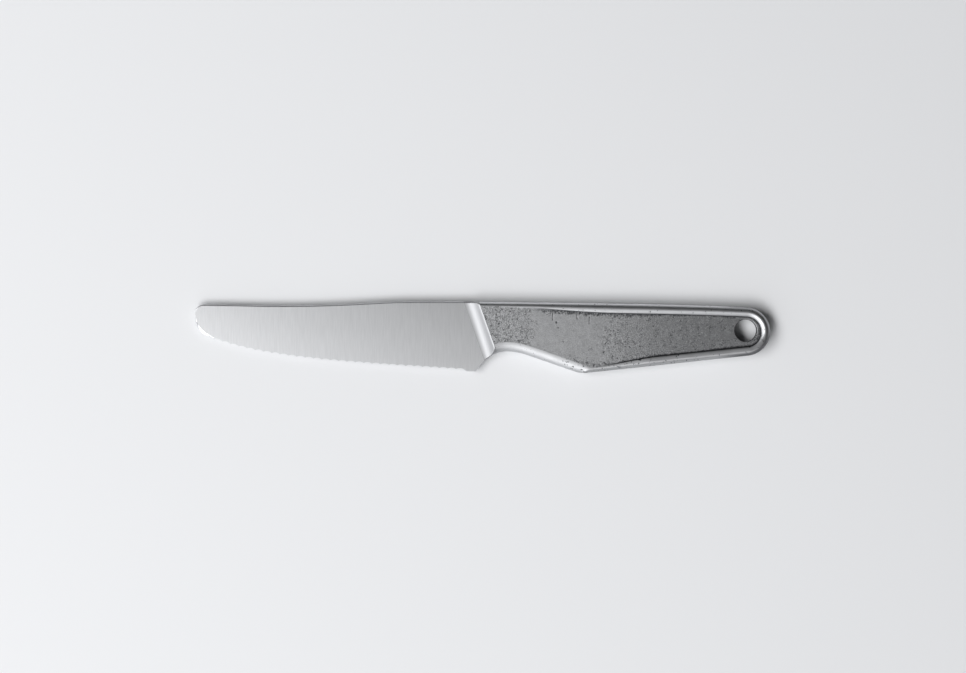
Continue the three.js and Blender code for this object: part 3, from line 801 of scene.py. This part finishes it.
def forgedStainless():
    # stainless steel as it left the hammer: dull and grained, darker towards the butt,
    # with short dark grooves where scale was pressed in, and painted shade along the belly, in the corner by
    # the rim and at the hole
    grooveFull, grooveGone = forging["grooveEdge"]
    breakBegins, breakFull = forging["breakLevel"]
    bareSpeckle, scaleSpeckle = forging["speckle"]
    smooth, rough = forging["roughness"]
    perMetre = lambda name: 1 / (forging[name] * mm)  # a noise's scale from its size
    material, tree = newMaterial("forgedStainless")
    onPiece = {"Vector": (addNode(tree, "TexCoord", {}), "Object")}
    cover = addNode(tree, "Attribute", {"attribute_name": "scaleCover"})
    # single marks and scale, with painted shade in the corner by the rim and at the hole's edge
    marks = addNode(tree, "Attribute", {"attribute_name": "marksAndShade"})
    worms = addNode(tree, "TexNoise", {"Scale": perMetre("grooveSize"), "Detail": 1.0}, onPiece)
    offCentre = addNode(tree, "Math", {"operation": "SUBTRACT", 1: 0.5}, {0: (worms, "Fac")})
    ridged = addNode(tree, "Math", {"operation": "ABSOLUTE"}, {0: (offCentre, "Value")})
    grooves = addNode(
        tree, "MapRange", {"From Min": grooveFull, "From Max": grooveGone, "To Min": 1.0, "To Max": 0.0},
        {"Value": (ridged, "Value")})
    breaks = addNode(
        tree, "TexNoise",
        {"noise_dimensions": "4D", "W": 5.0, "Scale": perMetre("breakSize"), "Detail": 0.0},
        onPiece)  # W sets it apart from the grooves' noise
    likely = addNode(
        tree, "Math", {"operation": "MULTIPLY_ADD", 1: forging["coverGain"]},
        {0: (cover, "Fac"), 2: (breaks, "Fac")})
    gate = addNode(
        tree, "MapRange", {"From Min": breakBegins, "From Max": breakFull, "To Min": 0.0, "To Max": 1.0},
        {"Value": (likely, "Value")})
    broken = addNode(tree, "Math", {"operation": "MULTIPLY"}, {0: (grooves, "Result"), 1: (gate, "Result")})
    pits = addNode(tree, "Math", {"operation": "MAXIMUM"}, {0: (broken, "Value"), 1: (marks, "Fac")})
    grain = addNode(tree, "TexNoise", {"Scale": perMetre("speckleSize"), "Detail": 2.0}, onPiece)
    blotch = addNode(tree, "TexNoise", {"Scale": perMetre("blotchSize"), "Detail": 3.0}, onPiece)
    coarse = addNode(
        tree, "Math", {"operation": "MULTIPLY_ADD", 1: scaleSpeckle, 2: bareSpeckle}, {0: (cover, "Fac")})
    fromMiddle = addNode(tree, "Math", {"operation": "SUBTRACT", 1: 0.5}, {0: (grain, "Fac")})
    speckle = addNode(
        tree, "Math", {"operation": "MULTIPLY_ADD", 2: forging["speckleMean"]},
        {0: (fromMiddle, "Value"), 1: (coarse, "Value")})
    uneven = addNode(
        tree, "Math", {"operation": "MULTIPLY_ADD", 1: forging["blotch"]},
        {0: (blotch, "Fac"), 2: (speckle, "Value")})
    # darker towards the butt and a little near the ridge, and painted shade along the belly
    darker = addNode(tree, "Attribute", {"attribute_name": "panelDarkening"})
    shade = addNode(
        tree, "Math", {"operation": "MULTIPLY_ADD", 1: -forging["darkenBy"]},
        {0: (darker, "Fac"), 2: (uneven, "Value")})
    tint = addNode(tree, "ValToRGB", {}, {"Fac": (shade, "Value")})
    for stop, level, steel in zip(tint.color_ramp.elements, forging["steelLevel"], forging["steel"]):
        stop.position, stop.color = level, toLinear(steel)
    colour = addNode(
        tree, "Mix", {"data_type": "RGBA", 7: toLinear(forging["scaleAndShade"])},
        {0: (pits, "Value"), 6: (tint, "Color")})
    gloss = addNode(
        tree, "MapRange", {"From Min": 0.0, "From Max": 1.0, "To Min": smooth, "To Max": rough},
        {"Value": (pits, "Value")})
    depth = addNode(
        tree, "Math", {"operation": "MULTIPLY_ADD", 1: -1.0}, {0: (pits, "Value"), 2: (speckle, "Value")})
    relief = addNode(
        tree, "Bump", {"Strength": 0.5, "Distance": forging["relief"] * mm}, {"Height": (depth, "Value")})
    surface = addNode(
        tree, "BsdfPrincipled", {"Metallic": 1.0},
        {"Base Color": (colour, 2), "Roughness": (gloss, "Result"), "Normal": (relief, "Normal")})
    addNode(tree, "OutputMaterial", {}, {"Surface": (surface, "BSDF")})
    return material


def scaleCover(x, y, topEdge, lowEdge, seed):
    # how densely pressed-in scale lies, and how much the steel is darkened: towards the butt, a little near
    # the ridge, and near the belly as painted shade along the rim; each zone eases out along a ragged line
    ragged = raggedLine(x, y, forging["zoneRagged"], seed)
    alongRim = forging["rimRagged"] * ragged
    slant = forging["bareSlant"] * (y - forging["middle"])
    nearRidge = 1 - easeStep(x + ragged, *forging["bareFrom"])
    nearButt = easeStep(x + ragged - slant, *forging["bareTo"])
    inFringe = easeStep(x, *forging["fringeFrom"]) * (1 - easeStep(x, *forging["fringeTo"]))
    nearTop = (1 - easeStep(topEdge - y + alongRim, *forging["fringeDepth"])) * inFringe
    nearBelly = 1 - easeStep(y - lowEdge + alongRim, *forging["bellyDepth"])
    nearBelly = nearBelly * easeStep(x, *forging["bellyFrom"])
    zones = [nearRidge, nearButt, nearTop, nearBelly]
    cover = np.maximum.reduce([share * zone for share, zone in zip(forging["density"], zones)])
    ridgeDarker, bellyEdgeShade = forging["darker"]
    towardsButt = easeStep(x, *forging["darkerFrom"])
    return cover, np.maximum.reduce([towardsButt, ridgeDarker * nearRidge, bellyEdgeShade * nearBelly])


def cornerScaleAndShade(x, y, fromRim, upper, seed):
    # ragged dark line in the corner between panel and rim: scale where no tool reached, and painted shade in
    # the corner
    ragged = raggedLine(x, y, forging["cornerRagged"], seed)
    begins = easeStep(x, *forging["cornerTop" if upper else "cornerBelly"])
    if upper:
        fringe = begins * (1 - easeStep(x, *forging["fringeTo"]))
        width = mixed(forging["cornerScaleAndShade"], forging["fringeScale"], fringe)
    else:
        wider = mixed(1, forging["cornerButt"], easeStep(x, *forging["cornerWiden"]))
        width = forging["cornerScaleAndShade"] * wider
    line = 1 - easeStep(fromRim / width + forging["cornerWander"] * ragged, *forging["cornerEdge"])
    return line * patches(x, y, *forging["cornerPatches"], seed + 3) * begins


def scaleStrokes(x, y):  # 1 along the middle of each mark, easing to 0 with the distance from it
    place = np.stack([x, y], -1)
    full, gone = forging["strokeEdge"]
    marks = []
    for start, end, half in forging["strokes"]:
        start, end = np.array([start[0], -start[1]]), np.array([end[0], -end[1]])
        along = end - start
        share = np.clip(((place - start) @ along) / max(along @ along, 1e-6), 0, 1)
        gap = np.linalg.norm(place - start - share[..., None] * along, axis=-1)
        marks.append(1 - easeStep(gap, full * half, gone * half))
    return np.maximum.reduce(marks) * patches(x, y, *forging["strokePatches"], forging["strokeSeed"])


def webPiece(stations):
    # two sheets for each face, ruled from the middle line out to the rim; their height is the panel's even
    # taper with waves, grain and the single marks taken off it, and a quarter round at the hole
    inner = stations["path"] + stations["direction"] * stations["width"][:, None]
    last = np.argmax(inner[:, 0])  # innermost point of the butt
    columns, rows, holeFrom = forging["columns"], forging["rows"], forging["holeFrom"]
    share = np.linspace(0, 1, columns)
    upperSide = pointsAt(inner[: last + 1], share)
    lowerSide = pointsAt(inner[last:][::-1], share)
    angle = np.radians(180 * (1 - np.clip((share - holeFrom) / (1 - holeFrom), 0, 1)))
    circle = handle["hole"] * np.stack([np.cos(angle), np.sin(angle)], 1)
    ease = easeStep(share, forging["holeEase"], holeFrom)[:, None]
    middle = mixed((upperSide + lowerSide) / 2, holeCentre + circle * [1, 0], ease)
    opened = (share > holeFrom)[:, None]
    outwards = np.linspace(0, 1, rows)
    sheets, covers, darkerLayers, marks = [], [], [], []
    for side, sign in ((upperSide, 1), (lowerSide, -1)):
        start = np.where(opened, holeCentre + circle * [1, sign], middle)
        plan = start[:, None] + (side - start)[:, None] * outwards[None, :, None]
        x, y = plan[..., 0], plan[..., 1]
        fromRim = np.linalg.norm(plan - side[:, None], axis=2)
        fade = np.clip(fromRim / forging["evenEdge"], 0, 1)
        fromHole = np.linalg.norm(plan - holeCentre, axis=2) - handle["hole"]
        eased = easedEdge(fromHole, handle["holeRound"])
        # painted shade at the hole's edge, drawn in the scale's dark colour
        holeWallShade = 1 - easeStep(fromHole, 0.0, forging["holeShade"])
        for face, seed in zip((1, -1), forging["faceSeeds"]):
            waves = forging["waves"] * unevenness(x, y, forging["waveSize"], seed)
            grain = forging["grain"] * unevenness(x, y, forging["grainSize"], seed + 1)
            stroke = scaleStrokes(x, y) * (face > 0)
            height = webHalf(x) + (waves + grain - forging["waves"] - forging["strokeDepth"] * stroke) * fade
            height -= (1 - eased) * handle["holeRound"]
            sheets.append(np.concatenate([plan, face * height[..., None]], 2).reshape(-1, 3))
            cover, darker = scaleCover(x, y, upperSide[:, None, 1], lowerSide[:, None, 1], seed + 2)
            corner = cornerScaleAndShade(x, y, fromRim, sign > 0, seed + 5)
            covers.append(cover.ravel())
            darkerLayers.append(darker.ravel())
            marks.append(np.maximum.reduce([stroke, corner, holeWallShade]).ravel())
    count = columns * rows  # points of one sheet
    faces = []
    for sheet in range(4):
        faces += gridFaces(columns, rows, sheet * count, flip=sheet in (1, 2))
    for top, bottom in ((0, 1), (2, 3)):  # walls at the rim, in the hole and at the ridge
        faces += wallFaces(top * count, bottom * count, np.arange(columns) * rows + rows - 1)
        holeColumns = np.nonzero(share >= holeFrom - 1 / columns)[0]
        faces += wallFaces(bottom * count, top * count, holeColumns * rows)
        faces += wallFaces(bottom * count, top * count, np.arange(rows))
    layers = {"scaleCover": covers, "panelDarkening": darkerLayers, "marksAndShade": marks}
    layers = {name: np.concatenate(values) for name, values in layers.items()}
    return makePiece(
        "forgedPanel", np.concatenate(sheets), faces, forgedStainless(), "handle_web",
        sharpAngle=40, layers=layers)


bladePiece()
bolsterPiece()
stations = rimStations()
rimPiece(stations)
webPiece(stations)


# Table, light and camera

studio = {
    "frameWidth": 408.4,  # millimetres across the picture, at the knife's middle plane
    "frameCentre": (0.15, 0.3),
    "lens": 85.0,
    "sensor": 36.0,
    "table": "#e6e7e9",
    "tableHalf": 12.0,  # metres from the knife to the table's sides
    "lean": 0.006,  # the table falls from ridge to butt, so that the shadows widen as in the photograph
    "softboxes": {  # direction and height in degrees, width and height in metres, watts
        "keySoftbox": ((203.0, 55.0), (2.7, 0.8), 49.0),
        "fillSoftbox": ((280.0, 52.0), (1.9, 1.3), 5.0),
    },
    "softboxDistance": 2.1,
    "roomFrom": (224.0, 12.0),  # the pale wall that the softbox stands in front of
    "roomEdge": (0.38, 0.85),  # cosines of the angles where that wall begins and is full
    "roomColour": "#fcfdff",
    "roomBright": 0.92,
    "roomDark": 0.015,
}


def paleTable():
    material, tree = newMaterial("paleTable")  # matt white board
    surface = addNode(tree, "BsdfPrincipled", {"Base Color": toLinear(studio["table"]), "Roughness": 0.9})
    addNode(tree, "OutputMaterial", {}, {"Surface": (surface, "BSDF")})
    return material


def makeTable():
    mesh = bpy.data.meshes.new("table")
    side = studio["tableHalf"]
    rise = side * studio["lean"]
    corners = [(-side, -side, rise), (side, -side, -rise), (side, side, -rise), (-side, side, rise)]
    mesh.from_pydata(corners, [], [(0, 1, 2, 3)])
    mesh.materials.append(paleTable())
    table = bpy.data.objects.new("table", mesh)
    bpy.context.scene.collection.objects.link(table)


def towards(azimuth, height):  # unit vector from two angles in degrees
    flat = math.cos(math.radians(height))
    return np.array([*(heading(azimuth) * flat), math.sin(math.radians(height))])


def makeLight(name, place, size, power):
    lamp = bpy.data.lights.new(name, "AREA")
    lamp.shape = "RECTANGLE"
    lamp.size, lamp.size_y = size
    lamp.energy = power
    azimuth, height = place
    softbox = bpy.data.objects.new(name, lamp)
    softbox.location = towards(azimuth, height) * studio["softboxDistance"]
    softbox.rotation_euler = (math.radians(90 - height), 0, math.radians(azimuth + 90))
    bpy.context.scene.collection.objects.link(softbox)


def makeRoom():  # dark, with one pale wall whose light eases in with the cosine of the angle to it
    world = bpy.data.worlds.new("room")
    world.use_nodes = True
    tree = world.node_tree
    tree.nodes.clear()
    place = addNode(tree, "TexCoord", {})
    wall = towards(*studio["roomFrom"]).tolist()
    facing = addNode(tree, "VectorMath", {"operation": "DOT_PRODUCT", 1: wall}, {0: (place, "Generated")})
    edge = dict(zip(("From Min", "From Max"), studio["roomEdge"]))
    levels = {"To Min": studio["roomDark"], "To Max": studio["roomBright"]}
    level = addNode(
        tree, "MapRange", {"interpolation_type": "SMOOTHSTEP", **edge, **levels},
        {"Value": (facing, "Value")})
    sky = addNode(
        tree, "Background", {"Color": toLinear(studio["roomColour"])}, {"Strength": (level, "Result")})
    addNode(tree, "OutputWorld", {}, {"Surface": (sky, "Background")})
    bpy.context.scene.world = world


def makeCamera():
    lens = bpy.data.cameras.new("camera")
    lens.lens, lens.sensor_width = studio["lens"], studio["sensor"]
    camera = bpy.data.objects.new("camera", lens)
    height = studio["frameWidth"] * studio["lens"] / studio["sensor"] + frameShift[2]
    camera.location = (studio["frameCentre"][0] * mm, studio["frameCentre"][1] * mm, height * mm)
    bpy.context.scene.collection.objects.link(camera)
    bpy.context.scene.camera = camera


makeTable()
for name, settings in studio["softboxes"].items():
    makeLight(name, *settings)
makeRoom()
makeCamera()
bpy.context.scene.view_settings.view_transform = "Standard"
print("studio ready")
